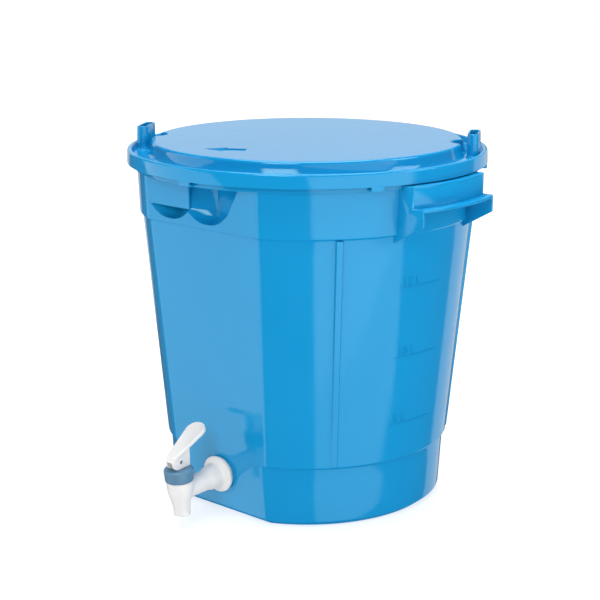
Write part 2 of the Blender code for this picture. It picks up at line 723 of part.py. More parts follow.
def tap_lever(look):
    """Two cheeks either side of the stem, and a blade that leans back over the tub."""
    pivot = (0.0, -VALVE_OUT, PIVOT_HEIGHT)
    blade_start = (10.0 * MM, 6.4 * MM)
    blade_end = (-34.0 * MM, 28.5 * MM)
    outline = [(-11 * MM, -LEVER_CLEARANCE)] + heel_curve()
    outline += [(11.5 * MM, 1.5 * MM), blade_start, (-11 * MM, 16.2 * MM), (-12 * MM, 12.0 * MM)]

    def place(u, v, w):
        return (w, -VALVE_OUT - u, PIVOT_HEIGHT + v)

    half = LEVER_WIDTH / 2
    rings = [[place(u, v, w) for u, v in outline] for w in (-half, half)]
    lever = loft("tap_lever", rings, origin=pivot)

    run = Vector(blade_end) - Vector(blade_start)
    length = run.length
    along = run.normalized()
    normal = Vector((along.y, -along.x))
    if normal.y < 0:
        normal = -normal
    tip_radius = 10.3 * MM
    edge = [(0.0, half + 0.1 * MM), (12 * MM, half + 1.2 * MM), (length - 16 * MM, tip_radius - 0.6 * MM)]
    tip = []
    for i in range(13):
        turn = math.pi * i / 12
        tip.append((length - tip_radius + tip_radius * math.sin(turn), tip_radius * math.cos(turn)))
    plan = edge + tip + [(s, -w) for s, w in reversed(edge)]
    rings = []
    for drop in (-3.2 * MM, 0.4 * MM):
        ring_points = []
        for s, w in plan:
            spot = Vector(blade_start) + along * s + normal * drop
            ring_points.append(place(spot.x, spot.y, w))
        rings.append(ring_points)
    add(lever, loft("blade", rings))
    slot = ((-4.2, -9), (16, -9), (16, 0.5), (8, 3.1), (-4.2, 4.2))
    rings = [[place(u * MM, v * MM, w) for u, v in slot] for w in (-3.3 * MM, 3.3 * MM)]
    cut(lever, loft("stem_slot", rings))
    cut(lever, turned("lever_hole", ((-8 * MM, PIN_RADIUS + 0.2 * MM), (8 * MM, PIN_RADIUS + 0.2 * MM)),
                      pivot, (1, 0, 0), 20))
    return finish(lever, look)


def main():
    clear_scene()
    blue = material("sky_blue_polypropylene", (0.03, 0.29, 0.66), 0.2)
    white = material("white_polypropylene", (0.78, 0.77, 0.75), 0.3)
    slate = material("slate_polypropylene", (0.09, 0.21, 0.33), 0.4)
    rubber = material("grey_rubber", (0.12, 0.12, 0.12), 0.7)
    silicone = material("clear_silicone", (0.7, 0.7, 0.68), 0.5)
    steel = material("steel", (0.6, 0.6, 0.6), 0.3)
    bucket(blue)
    handle(1, blue)
    handle(-1, blue)
    lid(blue)
    lid_seal(silicone)
    upright = set(bpy.data.objects)
    tap_body(white)
    ring("outer_washer", SHANK_RADIUS + 0.3 * MM, 16.5 * MM, WALL_OUTSIDE + GAP,
         WALL_OUTSIDE + 2.6 * MM - GAP, silicone)
    ring("inner_washer", SHANK_RADIUS + 0.3 * MM, 17.5 * MM, WALL_INSIDE - 2.3 * MM,
         WALL_INSIDE - GAP, rubber)
    back_nut(white)
    tap_bonnet(slate)
    seat_cup(silicone)
    valve_stem(white)
    lever_pin(steel)
    tap_lever(white)
    lean([piece for piece in bpy.data.objects if piece not in upright])


main()
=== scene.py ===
import json
import math

import bmesh
import bpy
from mathutils import Matrix, Vector

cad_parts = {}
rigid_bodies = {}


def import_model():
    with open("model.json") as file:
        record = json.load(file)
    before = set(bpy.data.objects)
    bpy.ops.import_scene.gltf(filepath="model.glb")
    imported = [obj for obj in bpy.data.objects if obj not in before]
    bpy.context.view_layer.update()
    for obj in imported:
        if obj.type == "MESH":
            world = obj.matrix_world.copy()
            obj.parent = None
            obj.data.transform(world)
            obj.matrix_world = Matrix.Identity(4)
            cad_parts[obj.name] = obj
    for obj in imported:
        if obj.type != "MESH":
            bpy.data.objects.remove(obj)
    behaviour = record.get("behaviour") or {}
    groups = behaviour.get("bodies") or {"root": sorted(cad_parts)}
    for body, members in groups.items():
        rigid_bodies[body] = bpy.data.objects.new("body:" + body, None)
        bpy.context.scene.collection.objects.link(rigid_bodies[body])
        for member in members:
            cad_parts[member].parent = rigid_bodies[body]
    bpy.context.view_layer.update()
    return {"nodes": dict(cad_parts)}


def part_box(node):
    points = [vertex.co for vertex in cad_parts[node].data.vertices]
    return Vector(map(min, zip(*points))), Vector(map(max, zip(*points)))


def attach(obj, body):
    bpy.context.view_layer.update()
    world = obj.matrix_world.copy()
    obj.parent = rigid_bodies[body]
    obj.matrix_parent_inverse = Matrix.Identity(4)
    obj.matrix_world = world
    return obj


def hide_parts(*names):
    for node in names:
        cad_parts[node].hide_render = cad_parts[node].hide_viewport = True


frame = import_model()
print("frame loaded:", sorted(frame["nodes"]))

mm = 0.001
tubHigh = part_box("bucket")[1]
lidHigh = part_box("lid")[1]
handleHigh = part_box("right_handle")[1]


def compass(radius, angle, height):
    # angle 0 is the tap's direction, and it grows anticlockwise from above
    return Vector((radius * math.sin(angle), -radius * math.cos(angle), height))


def softMin(a, b, width):
    share = max(0.0, min(1.0, 0.5 + 0.5 * (b - a) / width))
    return b + (a - b) * share - width * share * (1 - share)


def softStep(low, high, x):
    t = max(0.0, min(1.0, (x - low) / (high - low)))
    return t * t * (3 - 2 * t)


def between(a, b, share):
    return tuple(p + (q - p) * share for p, q in zip(a, b))


def roundedPath(corners, steps=5):
    # corners are tuples whose last value is the fillet radius; the rest is interpolated
    path = []
    for i, corner in enumerate(corners):
        fillet = corner[-1]
        here = corner[:-1]
        if fillet == 0 or i in (0, len(corners) - 1):
            path.append(here)
            continue
        before, after = corners[i - 1][:-1], corners[i + 1][:-1]
        ends = []
        for other in (before, after):
            span = math.dist(here[:2], other[:2])
            share = min(fillet / span, 0.48)
            ends.append(between(here, other, share))
        for k in range(steps + 1):
            t = k / steps
            path.append(between(between(ends[0], here, t), between(here, ends[1], t), t))
    return path


def meshPiece(name, points, faces, sharpAngle=35):
    shape = bmesh.new()
    verts = [shape.verts.new(p) for p in points]
    for face in faces:
        shape.faces.new([verts[i] for i in face])
    bmesh.ops.recalc_face_normals(shape, faces=shape.faces)
    if shape.calc_volume(signed=True) < 0:
        bmesh.ops.reverse_faces(shape, faces=shape.faces)
    mesh = bpy.data.meshes.new(name)
    shape.to_mesh(mesh)
    shape.free()
    piece = bpy.data.objects.new(name, mesh)
    bpy.context.scene.collection.objects.link(piece)
    mesh.shade_smooth()
    mesh.set_sharp_from_angle(angle=math.radians(sharpAngle))
    return piece


def skin(name, rings, loop=False, sharpAngle=35):
    # joins rings of equal length; an open skin is closed with a fan at each end
    count = len(rings[0])
    points = [p for ring in rings for p in ring]
    faces = []
    pairs = len(rings) if loop else len(rings) - 1
    for k in range(pairs):
        a = k * count
        b = (k + 1) % len(rings) * count
        for i in range(count):
            j = (i + 1) % count
            faces.append((a + i, a + j, b + j, b + i))
    if not loop:
        for start in (0, (len(rings) - 1) * count):
            middle = sum((Vector(points[start + i]) for i in range(count)), Vector()) / count
            points.append(middle)
            centre = len(points) - 1
            faces += [(start + i, start + (i + 1) % count, centre) for i in range(count)]
    return meshPiece(name, points, faces, sharpAngle)


def lathe(name, profile, centre, axis, count=96, loop=False, sharpAngle=35):
    # profile is (distance along the axis, radius)
    turn = Vector(axis).to_track_quat("Z", "Y").to_matrix()
    rings = []
    for along, radius in profile:
        ring = []
        for i in range(count):
            angle = math.tau * i / count
            spot = Vector((radius * math.cos(angle), radius * math.sin(angle), along))
            ring.append(turn @ spot + Vector(centre))
        rings.append(ring)
    return skin(name, rings, loop, sharpAngle)


def arcBar(name, inner, outer, middle, halfSpan, low, high, steps, edge):
    # a bar that follows the tub round, with its long edges eased
    rings = []
    for i in range(steps + 1):
        angle = middle - halfSpan + 2 * halfSpan * i / steps
        rings.append([compass(r, angle, z) for r, z in
                      ((inner, low), (outer, low), (outer, high), (inner, high))])
    piece = skin(name, rings)
    easeEdges(piece, edge)
    return piece


def easeEdges(piece, width, segments=3):
    bevel = piece.modifiers.new("easedEdges", "BEVEL")
    bevel.width = width
    bevel.segments = segments
    bevel.limit_method = "ANGLE"
    bevel.angle_limit = math.radians(40)
    bevel.harden_normals = True


def applyModifiers(piece):
    graph = bpy.context.evaluated_depsgraph_get()
    baked = bpy.data.meshes.new_from_object(piece.evaluated_get(graph))
    piece.modifiers.clear()
    piece.data = baked


def boolean(piece, other, operation):
    step = piece.modifiers.new(operation, "BOOLEAN")
    step.operation = operation
    step.object = other
    step.solver = "EXACT"
    applyModifiers(piece)
    bpy.data.objects.remove(other)


def moulded(piece, voxel, smoothing):
    # one skin over overlapping solids, with every inside corner softened
    grid = piece.modifiers.new("oneSkin", "REMESH")
    grid.mode = "VOXEL"
    grid.voxel_size = voxel
    applyModifiers(piece)
    ease = piece.modifiers.new("ease", "SMOOTH")
    ease.iterations = smoothing
    ease.factor = 0.5
    applyModifiers(piece)
    piece.data.shade_smooth()


def joinPieces(name, pieces):
    shape = bmesh.new()
    for piece in pieces:
        applyModifiers(piece)
        shape.from_mesh(piece.data)
    mesh = bpy.data.meshes.new(name)
    shape.to_mesh(mesh)
    shape.free()
    for piece in pieces:
        bpy.data.objects.remove(piece)
    joined = bpy.data.objects.new(name, mesh)
    bpy.context.scene.collection.objects.link(joined)
    mesh.shade_smooth()
    mesh.set_sharp_from_angle(angle=math.radians(35))
    return joined


def newMaterial(name):
    made = bpy.data.materials.new(name)
    made.use_nodes = True
    return made, made.node_tree, made.node_tree.nodes["Principled BSDF"]


def noiseInto(tree, scale, detail, low, high):
    # object-space noise brought into a range
    place = tree.nodes.new("ShaderNodeTexCoord")
    noise = tree.nodes.new("ShaderNodeTexNoise")
    noise.inputs["Scale"].default_value = scale
    noise.inputs["Detail"].default_value = detail
    tree.links.new(place.outputs["Object"], noise.inputs["Vector"])
    span = tree.nodes.new("ShaderNodeMapRange")
    span.inputs["From Min"].default_value = 0.3
    span.inputs["From Max"].default_value = 0.7
    span.inputs["To Min"].default_value = low
    span.inputs["To Max"].default_value = high
    tree.links.new(noise.outputs["Fac"], span.inputs["Value"])
    return span.outputs["Result"]


def plastic(name, look):
    # moulded polypropylene: slight colour drift, faint flow marks and a fine skin texture
    made, tree, shader = newMaterial(name)
    drift = noiseInto(tree, look["driftScale"], 3, 0.0, 1.0)
    blend = tree.nodes.new("ShaderNodeMix")
    blend.data_type = "RGBA"
    blend.inputs["A"].default_value = (*look["colour"], 1)
    blend.inputs["B"].default_value = (*look["colourFar"], 1)
    tree.links.new(drift, blend.inputs["Factor"])
    tree.links.new(blend.outputs["Result"], shader.inputs["Base Color"])
    rough = noiseInto(tree, look["roughScale"], 5, look["roughLow"], look["roughHigh"])
    tree.links.new(rough, shader.inputs["Roughness"])
    grain = noiseInto(tree, look["grainScale"], 2, 0.0, 1.0)
    waves = noiseInto(tree, look["waveScale"], 1, 0.0, 1.0)
    fine = tree.nodes.new("ShaderNodeBump")
    fine.inputs["Strength"].default_value = look["grainStrength"]
    fine.inputs["Distance"].default_value = 0.0001
    tree.links.new(grain, fine.inputs["Height"])
    broad = tree.nodes.new("ShaderNodeBump")
    broad.inputs["Strength"].default_value = look["waveStrength"]
    broad.inputs["Distance"].default_value = 0.0006
    tree.links.new(waves, broad.inputs["Height"])
    tree.links.new(fine.outputs["Normal"], broad.inputs["Normal"])
    tree.links.new(broad.outputs["Normal"], shader.inputs["Normal"])
    shader.inputs["IOR"].default_value = look["ior"]
    shader.inputs["Specular IOR Level"].default_value = look["specular"]
    shader.inputs["Specular Tint"].default_value = (*look["sheen"], 1)
    shader.inputs["Subsurface Weight"].default_value = look["glow"]
    shader.inputs["Subsurface Radius"].default_value = look["glowRadius"]
    shader.inputs["Subsurface Scale"].default_value = 0.004
    return made


bluePlastic = plastic("skyBluePlastic", {
    "colour": (0.004, 0.246, 0.530), "colourFar": (0.006, 0.262, 0.556),
    "driftScale": 4.0, "roughScale": 30.0, "roughLow": 0.07, "roughHigh": 0.11,
    "grainScale": 2600.0, "grainStrength": 0.03, "waveScale": 22.0, "waveStrength": 0.02,
    "ior": 1.49, "specular": 0.5, "sheen": (0.66, 1.0, 0.88), "glow": 0.0, "glowRadius": (0.3, 0.7, 1.0),
})
whitePlastic = plastic("tapWhitePlastic", {
    "colour": (0.74, 0.73, 0.72), "colourFar": (0.78, 0.76, 0.74),
    "driftScale": 40.0, "roughScale": 90.0, "roughLow": 0.28, "roughHigh": 0.38,
    "grainScale": 3200.0, "grainStrength": 0.08, "waveScale": 120.0, "waveStrength": 0.03,
    "ior": 1.49, "specular": 0.5, "sheen": (1.0, 1.0, 1.0), "glow": 0.0, "glowRadius": (1.0, 0.9, 0.8),
})
slatePlastic = plastic("bonnetSlatePlastic", {
    "colour": (0.075, 0.190, 0.300), "colourFar": (0.085, 0.215, 0.335),
    "driftScale": 60.0, "roughScale": 110.0, "roughLow": 0.34, "roughHigh": 0.46,
    "grainScale": 3200.0, "grainStrength": 0.12, "waveScale": 150.0, "waveStrength": 0.04,
    "ior": 1.49, "specular": 0.5, "sheen": (1.0, 1.0, 1.0), "glow": 0.0, "glowRadius": (1.0, 1.0, 1.0),
})
sealRubber = plastic("siliconeRubber", {
    "colour": (0.62, 0.62, 0.60), "colourFar": (0.70, 0.70, 0.67),
    "driftScale": 60.0, "roughScale": 140.0, "roughLow": 0.5, "roughHigh": 0.65,
    "grainScale": 2400.0, "grainStrength": 0.2, "waveScale": 90.0, "waveStrength": 0.05,
    "ior": 1.42, "specular": 0.4, "sheen": (1.0, 1.0, 1.0), "glow": 0.2, "glowRadius": (1.0, 1.0, 1.0),
})
darkRubber = plastic("blackRubber", {
    "colour": (0.02, 0.02, 0.02), "colourFar": (0.035, 0.035, 0.035),
    "driftScale": 80.0, "roughScale": 160.0, "roughLow": 0.6, "roughHigh": 0.8,
    "grainScale": 2000.0, "grainStrength": 0.3, "waveScale": 90.0, "waveStrength": 0.05,
    "ior": 1.5, "specular": 0.35, "sheen": (1.0, 1.0, 1.0), "glow": 0.0, "glowRadius": (1.0, 1.0, 1.0),
})


def groundSteel():
    made, tree, shader = newMaterial("pinSteel")
    shader.inputs["Metallic"].default_value = 1.0
    tone = noiseInto(tree, 700.0, 4, 0.5, 0.64)
    grey = tree.nodes.new("ShaderNodeCombineColor")
    for channel in ("Red", "Green", "Blue"):
        tree.links.new(tone, grey.inputs[channel])
    tree.links.new(grey.outputs["Color"], shader.inputs["Base Color"])
    tree.links.new(noiseInto(tree, 900.0, 3, 0.22, 0.36), shader.inputs["Roughness"])
    return made


pinSteel = groundSteel()


def dress(piece, look, body):
    piece.data.materials.clear()
    piece.data.materials.append(look)
    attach(piece, body)


print("materials made")


tub = {
    "flatHalfAngle": math.radians(26.0),
    "flatSlope": 0.08344,             # the flat is one plane from the collar to the foot
    "flatFoot": 123.04 * mm,
    "cornerSoftness": 0.010,          # how gently the flat meets the round wall
    "baseRadius": 136.2 * mm,
    "footHeight": 4.0 * mm,
    "stepHeight": 61.5 * mm,
    "stepRadius": 142.6 * mm,
    "collarHeight": 288.0 * mm,
    "collarRadius": 166.4 * mm,
    "shelfHeight": 331.0 * mm,
    "shelfRadius": 168.2 * mm,
    "rimRadius": 171.0 * mm,
    "mouthRadius": 166.2 * mm,
    "wall": 2.4 * mm,
    "floorTop": 7.2 * mm,
    "ribAngles": (52, 128, 232, 308),
    "ribHalfWidth": 3.0 * mm,
    "hollows": ((-40 * mm, 29 * mm), (9 * mm, 43 * mm)),   # centre, half width at the top
    # rise above the collar's lower edge, then half width or depth, in millimetres
    "hollowHalfWidths": (
        (4.5, 0.5), (5.0, 7.0), (5.8, 11.0), (7.6, 15.5), (10, 19.5), (13, 23.5), (16, 27.0),
    ),
    "hollowDepths": ((4.5, 0.2), (5.0, 5.0), (6.0, 8.0), (8.0, 11.0), (11, 13.4), (16, 15.0), (60, 15.0)),
}
flatRatio = math.cos(tub["flatHalfAngle"])
rimTop = tubHigh.z

tap = {
    "height": 35 * mm,
    "bossFace": 126 * mm,
    "lean": math.atan(tub["flatSlope"]),
    "shift": Vector((0, -0.83 * mm, 5.6 * mm)),
    "valveOut": 181 * mm,
    "shankRadius": 9.7 * mm,
    "flangeFace": 128.6 * mm,
    "chamberTop": 56.3 * mm,
    "spoutEnd": 12 * mm,
    "bonnetLow": 47.8 * mm,
    "bonnetHigh": 59.8 * mm,
    "pivotHeight": 66.6 * mm,
    "voxel": 0.42 * mm,
}
valveOut = tap["valveOut"]
pivot = Vector((0, -valveOut, tap["pivotHeight"]))


def leanTap(piece):
    # tips a piece drawn upright square to the flat's slope, about the middle of the boss
    centre = Matrix.Translation((0, -tap["bossFace"], tap["height"]))
    turn = centre @ Matrix.Rotation(tap["lean"], 4, "X") @ centre.inverted()
    piece.data.transform(Matrix.Translation(tap["shift"]) @ turn)


def tubAngles():
    # closer together over the flat's hollows, the flat's corners and the ribs
    marks = set()
    flatDistance = tub["shelfRadius"] * flatRatio
    x = -76 * mm
    while x <= 66 * mm:
        marks.add(round(math.atan2(x, flatDistance), 6))
        x += 0.7 * mm
    corner = tub["flatHalfAngle"]
    for side in (-1, 1):
        for k in range(-8, 9):
            marks.add(round(side * (corner + math.radians(0.45) * k), 6))
    for degrees in tub["ribAngles"]:
        middle = math.radians(degrees)
        for k in range(-9, 10):
            marks.add(round(middle + k * 0.5 * mm / (150 * mm), 6))
    span = math.radians(1.5)
    angle = corner
    while angle < math.tau - corner:
        near = min((abs(angle - m - t) for m in marks for t in (0, math.tau)), default=1)
        if near > span * 0.4:
            marks.add(round(angle, 6))
        angle += span
    folded = sorted({round(m % math.tau, 6) for m in marks})
    kept = [folded[0]]
    for angle in folded[1:]:
        if angle - kept[-1] > 0.0008:
            kept.append(angle)
    return kept


def collarFace(height):
    # distance of the collar's own flat face from the axis
    return interpolate(((tub["collarHeight"], tub["collarRadius"]),
                        (tub["shelfHeight"], tub["shelfRadius"])), height) * flatRatio


def flatReach(radius, angle, height, inset):
    # below the collar the flat is one plane, and the collar stands proud of it
    facing = math.cos(angle)
    if facing < 0.3:
        return radius
    plane = tub["flatFoot"] + tub["flatSlope"] * height
    onCollar = softStep(tub["collarHeight"] - 1.3 * mm, tub["collarHeight"] - 0.1 * mm, height)
    distance = plane + (collarFace(height) - plane) * onCollar - inset
    return radius * softMin(1.0, distance / radius / facing, tub["cornerSoftness"])


def hollowDepth(x, height, grow=0.0):
    # how far the two scoops reach into the collar, from the face of the flat
    rise = height - tub["collarHeight"] + grow
    top = tub["shelfHeight"] - tub["collarHeight"]
    deepest = 0.0
    depths = [(a * mm, b * mm) for a, b in tub["hollowDepths"]]
    for centre, topHalf in tub["hollows"]:
        widths = [(a * mm, b * mm) for a, b in tub["hollowHalfWidths"]] + [(top, topHalf)]
        if rise <= widths[0][0]:
            continue
        half = interpolate(widths, rise) + grow
        depth = interpolate(depths, rise) + grow
        across = abs(x - centre) / half
        if across < 1:
            deepest = max(deepest, depth * (1 - across ** 1.25))
    return deepest


def interpolate(table, x):
    if x <= table[0][0]:
        return table[0][1]
    for (x0, y0), (x1, y1) in zip(table, table[1:]):
        if x <= x1:
            return y0 + (y1 - y0) * (x - x0) / (x1 - x0)
    return table[-1][1]


def ribRise(angle, height):
    # the ribs stand proud of the wall between the lower step and the collar
    low, high = tub["stepHeight"] - 0.4 * mm, tub["collarHeight"] - 1.6 * mm
    if not low < height < high:
        return 0.0
    share = (height - low) / (high - low)
    proud = (1.1 + 1.6 * share) * mm
    ends = softStep(low, low + 1.6 * mm, height) * (1 - softStep(high - 0.6 * mm, high, height))
    best = 0.0
    for degrees in tub["ribAngles"]:
        away = abs((angle - math.radians(degrees) + math.pi) % math.tau - math.pi) * 150 * mm
        half = tub["ribHalfWidth"]
        best = max(best, 1 - softStep(half - 0.5 * mm, half + 0.5 * mm, away))
    return proud * best * ends


def tubProfile():
    # radius, height, inset of the flat, inside flag, fillet
    t = tub
    skinInset = t["wall"]
    unflattened = -60 * mm
    base, foot = t["baseRadius"], t["footHeight"]
    corners = [
        (20 * mm, 0, 0, 0, 0.5 * mm),
        (22 * mm, foot, 0, 0, 1.0 * mm),
        (base - 14 * mm, foot, 14 * mm, 0, 1.0 * mm),
        (base - 13 * mm, 0, 13 * mm, 0, 0.7 * mm),
        (base - 6 * mm, 0, 6 * mm, 0, 0.7 * mm),
        (base - 5 * mm, foot, 5 * mm, 0, 0.8 * mm),
        (base - 0.1 * mm, foot, 0, 0, 1.6 * mm),
        (t["stepRadius"] - 3.0 * mm, t["stepHeight"] - 1.6 * mm, 0, 0, 0.8 * mm),
        (t["stepRadius"], t["stepHeight"], 0, 0, 1.0 * mm),
        (t["collarRadius"] - 3.0 * mm, t["collarHeight"] - 1.4 * mm, 0, 0, 0.7 * mm),
        (t["collarRadius"], t["collarHeight"], 0, 0, 0.9 * mm),
        (t["shelfRadius"], t["shelfHeight"], 0, 0, 0.5 * mm),
        (t["rimRadius"], t["shelfHeight"], unflattened, 0, 0.6 * mm),
        (t["rimRadius"], rimTop, unflattened, 0, 1.0 * mm),
        (t["mouthRadius"], rimTop, unflattened, 1, 1.0 * mm),
        (t["mouthRadius"], t["shelfHeight"] + skinInset + 0.4 * mm, unflattened, 1, 0.4 * mm),
        (t["shelfRadius"] - skinInset, t["shelfHeight"] + skinInset, skinInset, 1, 0.5 * mm),
        (t["collarRadius"] - skinInset, t["collarHeight"], skinInset, 1, 0.9 * mm),
        (t["collarRadius"] - 3 * mm - skinInset, t["collarHeight"] - 1.4 * mm, skinInset, 1, 0.9 * mm),
        (t["stepRadius"] - skinInset, t["stepHeight"], skinInset, 1, 0.9 * mm),
        (t["stepRadius"] - 3 * mm - skinInset, t["stepHeight"] - 1.6 * mm, skinInset, 1, 0.9 * mm),
        (base - skinInset, t["floorTop"], skinInset, 1, 3.5 * mm),
        (30 * mm, t["floorTop"], 0, 1, 0.5 * mm),
    ]
    path = roundedPath(corners)
    # extra rings where the collar's hollows and the ribs' ends need them
    dense = []
    for a, b in zip(path, path[1:]):
        dense.append(a)
        height = abs(b[1] - a[1])
        middle = (a[1] + b[1]) / 2
        gap = 14 * mm
        if middle > tub["collarHeight"]:
            gap = 0.7 * mm if a[3] == 0 else 1.6 * mm
        extra = int(height / gap)
        shares = [k / (extra + 1) for k in range(1, extra + 1)]
        if a[3] == 0 and b[1] - a[1] > 100 * mm:
            shares += [(tub["stepHeight"] + bit * mm - a[1]) / (b[1] - a[1]) for bit in (0.7, 1.1, 1.5)]
        for share in sorted(t for t in shares if 0 < t < 1):
            dense.append(between(a, b, share))
    dense.append(path[-1])
    return [p for i, p in enumerate(dense) if i == 0 or math.dist(p[:2], dense[i - 1][:2]) > 0.02 * mm]


def tubRing(radius, height, inset, inside, angles):
    ring = []
    for angle in angles:
        reach = flatReach(radius, angle, height, inset)
        if not inside:
            reach += ribRise(angle, height)
        spot = compass(reach, angle, height)
        inCollar = tub["collarHeight"] < height <= tub["shelfHeight"] + 0.1 * mm
        if math.cos(angle) > flatRatio - 0.05 and inset > -1 * mm and inCollar:
            depth = hollowDepth(spot.x, height, 2.3 * mm if inside else 0.0)
            if depth > 0:
                spot.y = max(spot.y, depth - collarFace(height))
        ring.append(spot)
    return ring


def orderedPath(path):
    # a ring of equal height may appear twice where a fillet meets a straight run
    return [p for i, p in enumerate(path) if i == 0 or p != path[i - 1]]


def makeTub():
    angles = tubAngles()
    rings = [tubRing(*point, angles) for point in orderedPath(tubProfile())]
    body = skin("tubShell", rings)
    axle, out = (0, 0, tap["height"]), (0, -1, 0)
    bossPath = roundedPath([
        (110 * mm, 19 * mm, 0), (110 * mm, 21 * mm, 0),
        (126 * mm, 21.0 * mm, 0.4 * mm), (126 * mm, 5 * mm, 0),
    ])
    boss = lathe("tapBoss", bossPath, axle, out, 96)
    leanTap(boss)
    boolean(body, boss, "UNION")
    pad = lathe("innerPad", [(120.9 * mm, 22.4 * mm), (124.4 * mm, 22.4 * mm)], axle, out, 64)
    leanTap(pad)
    boolean(body, pad, "UNION")
    hole = lathe("shankHole", [(90 * mm, 10.2 * mm), (150 * mm, 10.2 * mm)], axle, out, 64)
    leanTap(hole)
    boolean(body, hole, "DIFFERENCE")
    body.data.shade_smooth()
    body.data.set_sharp_from_angle(angle=math.radians(32))
    dress(body, bluePlastic, "bucket")
    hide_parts("bucket", "collar_pocket")
    print("tub:", len(body.data.polygons), "faces")


makeTub()


def makeHollowCover():
    # the flush plate over the upper part of the left hollow
    rings = []
    low, high = tub["collarHeight"] + 16 * mm, tub["shelfHeight"] + 0.3 * mm
    for height in (low, high):
        face = collarFace(height)
        rings.append([Vector((x, -y, height)) for x, y in (
            (-69.5 * mm, face - 0.05 * mm), (-14 * mm, face - 0.02 * mm),
            (-14 * mm, face - 2.4 * mm), (-69.5 * mm, face - 2.4 * mm))])
    plate = skin("hollowCover", rings)
    easeEdges(plate, 0.35 * mm)
    dress(plate, bluePlastic, "bucket")


makeHollowCover()


handle = {
    "halfSpan": 54 * mm,
    "plate": 2.6 * mm,
    "skirtRadius": 184 * mm,
    "skirtThick": 2.5 * mm,
    "ledgeTop": 315 * mm,
    "ledgeThick": 3.0 * mm,
    "webTop": 335 * mm,
    "webThick": 2.6 * mm,
    "edge": 0.7 * mm,
}


def makeHandle(side):
    h = handle
    ledgeRadius = handleHigh.x
    middle = math.pi / 2 * side
    skirtAngle = math.asin(h["halfSpan"] / h["skirtRadius"])
    ledgeAngle = math.asin(h["halfSpan"] / ledgeRadius)
    ledgeLow = h["ledgeTop"] - h["ledgeThick"]
    bars = [
        arcBar("web", tub["mouthRadius"] + 0.8 * mm, h["skirtRadius"], middle, skirtAngle,
               h["webTop"] - h["webThick"], h["webTop"], 40, h["edge"]),
        arcBar("skirt", h["skirtRadius"] - h["skirtThick"], h["skirtRadius"] - 0.02 * mm, middle,
               skirtAngle - 0.001, ledgeLow + 0.1 * mm, h["webTop"] - 0.02 * mm, 40, h["edge"]),
        arcBar("ledge", h["skirtRadius"] - h["skirtThick"], ledgeRadius, middle, ledgeAngle,
               ledgeLow, h["ledgeTop"], 40, h["edge"]),
    ]

    def across(radius):
        return math.sqrt(radius ** 2 - h["halfSpan"] ** 2)

    outline = [
        (150 * mm, 280.5 * mm), (154 * mm, 280.5 * mm),
        (across(ledgeRadius), 299 * mm), (across(ledgeRadius), h["ledgeTop"]),
        (across(h["skirtRadius"]), h["ledgeTop"]), (across(h["skirtRadius"]), h["webTop"]),
        (150 * mm, h["webTop"]),
    ]
    for end in (-1, 1):
        outer = end * (h["halfSpan"] + 0.05 * mm)
        inner = end * (h["halfSpan"] - h["plate"])
        rings = [[Vector((side * u, w, v)) for u, v in outline] for w in (outer, inner)]
        plate = skin("plate", rings)
        easeEdges(plate, h["edge"])
        bars.append(plate)
    name = "handleRight" if side > 0 else "handleLeft"
    made = joinPieces(name, bars)
    dress(made, bluePlastic, "bucket")
    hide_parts("right_handle" if side > 0 else "left_handle")


for side in (1, -1):
    makeHandle(side)
print("handles made")


lugs = {"count": 6, "lidStart": 2.5, "twist": 11.5, "tubHalf": 2.2, "edge": 0.35 * mm}


def makeLugs():
    tubLugs, lidLugs = [], []
    rimRadius = tub["rimRadius"]
    lidRadius = lidHigh.x
    for k in range(lugs["count"]):
        lidAngle = math.radians(lugs["lidStart"] + 360 / lugs["count"] * k)
        tubAngle = lidAngle - math.radians(lugs["twist"])
        tubLugs.append(arcBar("tubLug", rimRadius - 2 * mm, rimRadius + 3.6 * mm, tubAngle,
                              math.radians(lugs["tubHalf"]),
                              rimTop - 3.4 * mm, rimTop - 0.9 * mm, 6, lugs["edge"]))
        lidLugs.append(arcBar("outer", lidRadius - 2.4 * mm, lidRadius - 0.1 * mm, lidAngle,
                              math.radians(2.0), rimTop - 6.1 * mm, rimTop + 2 * mm, 4, lugs["edge"]))
        lidLugs.append(arcBar("hook", rimRadius + 0.6 * mm, lidRadius - 1 * mm, lidAngle,
                              math.radians(2.1), rimTop - 6.2 * mm, rimTop - 3.8 * mm, 4, lugs["edge"]))
    onTub = joinPieces("tubLugs", tubLugs)
    dress(onTub, bluePlastic, "bucket")
    onLid = joinPieces("lidLugs", lidLugs)
    dress(onLid, bluePlastic, "lid")


makeLugs()


lid = {
    "top": 357 * mm,
    "channel": 343.5 * mm,
    "scallopRadius": 16 * mm,
    "scallopCentre": 160 * mm,
    "pegAngles": (122, -58),
    "pegRadius": 164.5 * mm,
    "pegHalfLength": 18.8 * mm,
    "pegHalfWidth": 6.0 * mm,
    "pegWall": 1.8 * mm,
}


